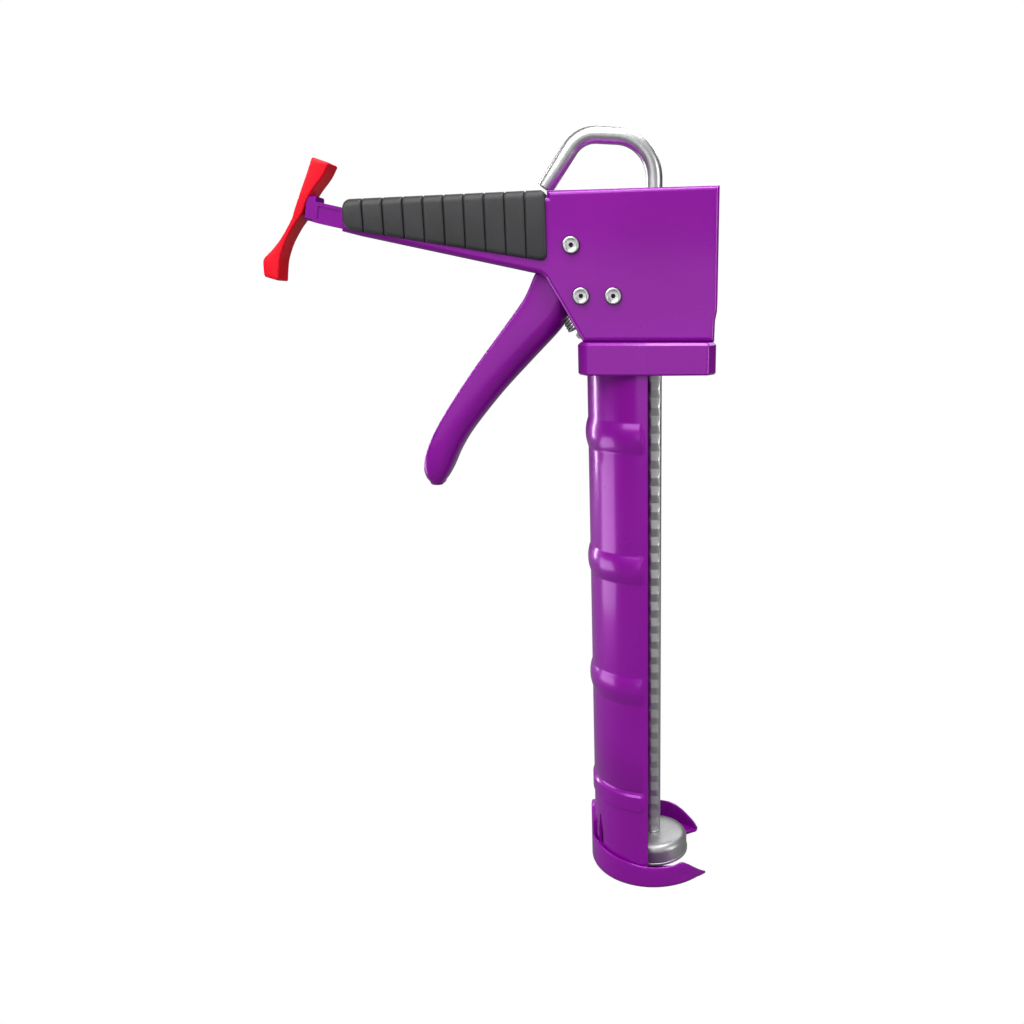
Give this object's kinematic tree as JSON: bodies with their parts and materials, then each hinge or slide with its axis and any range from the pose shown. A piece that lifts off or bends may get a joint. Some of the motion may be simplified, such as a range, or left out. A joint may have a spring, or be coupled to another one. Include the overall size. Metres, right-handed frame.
{
  "type": "jerky gun",
  "caption": "Hand-squeezed jerky gun: open half-barrel cradle with a slotted front cap, ratchet rod with pull hook and piston, curved trigger, ribbed handle grip and a two-armed wing knob.",
  "frame": {"origin": "on the ratchet rod's axis, in the plane of the collar's lower face, where the filling tube's rear end seats", "axes": "+Z along the rod towards the pull hook, the barrel points to -Z, the handle to -X, the cradle's open side to +X"},
  "size_m": [0.1775, 0.058, 0.316],
  "materials": {
    "purple_paint": "glossy metallic purple paint",
    "bright_steel": "satin zinc-plated steel",
    "inner_steel": "plain steel",
    "bush_nylon": "natural nylon",
    "grip_rubber": "matt dark grey rubber",
    "red_plastic": "glossy red moulded plastic"
  },
  "bodies": {
    "frame": {"body_shell_near": "purple_paint", "body_shell_far": "purple_paint", "collar": "purple_paint", "collar_screws": "inner_steel", "cradle": "purple_paint", "front_cap": "purple_paint", "rod_bush_upper": "bush_nylon", "rod_bush_lower": "bush_nylon", "trigger_screw": "bright_steel", "stop_screw": "bright_steel", "catch_screw": "bright_steel", "screw_nuts": "bright_steel", "stop_spacer": "inner_steel", "catch_bush": "inner_steel", "catch_spring": "inner_steel", "grip_sleeve": "grip_rubber", "handle_core": "purple_paint", "knob_screw": "bright_steel", "spring_post": "inner_steel", "return_spring": "bright_steel"},
    "knob": {"wing_knob": "red_plastic"},
    "trigger": {"trigger_lever": "purple_paint", "trigger_bush": "inner_steel", "drive_pin": "inner_steel", "spring_pin": "inner_steel"},
    "drive_pawl_body": {"drive_pawl": "inner_steel"},
    "holding_pawl_body": {"holding_pawl": "inner_steel"},
    "piston": {"piston_cup": "bright_steel", "piston_washer": "inner_steel"},
    "rod": {"ratchet_rod": "bright_steel", "pull_hook": "bright_steel", "rod_nut": "inner_steel"}
  },
  "joints": [
    {"name": "piston_slide", "type": "slide", "parent": "frame", "child": "piston", "axis": [0, 0, 1], "range_m": [0, 0.205]},
    {"name": "rod_turn", "type": "hinge", "parent": "piston", "child": "rod", "pos_m": [0, 0, 0], "axis": [0, 0, 1], "continuous": true},
    {"name": "trigger_squeeze", "type": "hinge", "parent": "frame", "child": "trigger", "pos_m": [-0.0316, 0, 0.0477], "axis": [0, 1, 0], "range_deg": [0, 28], "stiffness_Nm_per_rad": 1.2, "springref_deg": -22.92, "deforming": ["return_spring"]},
    {"name": "drive_pawl_swing", "type": "hinge", "parent": "trigger", "child": "drive_pawl_body", "pos_m": [-0.01511, 0, 0.05181], "axis": [0, 1, 0], "range_deg": [-28, 0]},
    {"name": "holding_pawl_swing", "type": "hinge", "parent": "frame", "child": "holding_pawl_body", "pos_m": [-0.0158, 0, 0.0292], "axis": [0, 1, 0], "range_deg": [0, 18], "stiffness_Nm_per_rad": 0.05, "springref_deg": -17.19},
    {"name": "knob_turn", "type": "hinge", "parent": "frame", "child": "knob", "pos_m": [-0.134, 0, 0.0622], "axis": [-0.9781, 0, 0.2079], "continuous": true}
  ],
  "couplings": [
    {"joint": "drive_pawl_swing", "follows": "trigger_squeeze", "ratio": -1}
  ]
}
